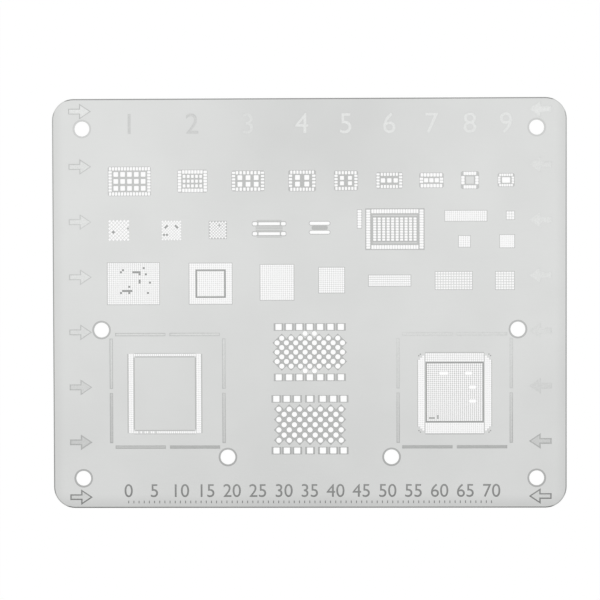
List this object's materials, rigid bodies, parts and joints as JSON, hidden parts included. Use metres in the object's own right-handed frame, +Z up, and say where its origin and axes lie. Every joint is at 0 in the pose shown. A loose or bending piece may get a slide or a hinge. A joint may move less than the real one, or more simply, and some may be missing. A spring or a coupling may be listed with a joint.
{
  "type": "solder paste stencil",
  "caption": "Thin flat stainless steel sheet with rounded corners, round locating holes and rows of fine square, slotted and round openings for placing solder paste or solder balls.",
  "frame": {"origin": "centre of the sheet's underside", "axes": "+X along the long side, +Y across the sheet towards the row of leadless packages, +Z up out of the etched face"},
  "size_m": [0.0988, 0.0788, 0.0001],
  "materials": {
    "stainless_sheet": "fine matte rolled stainless steel"
  },
  "bodies": {
    "root": {"stencil_sheet": "stainless_sheet"}
  },
  "joints": []
}
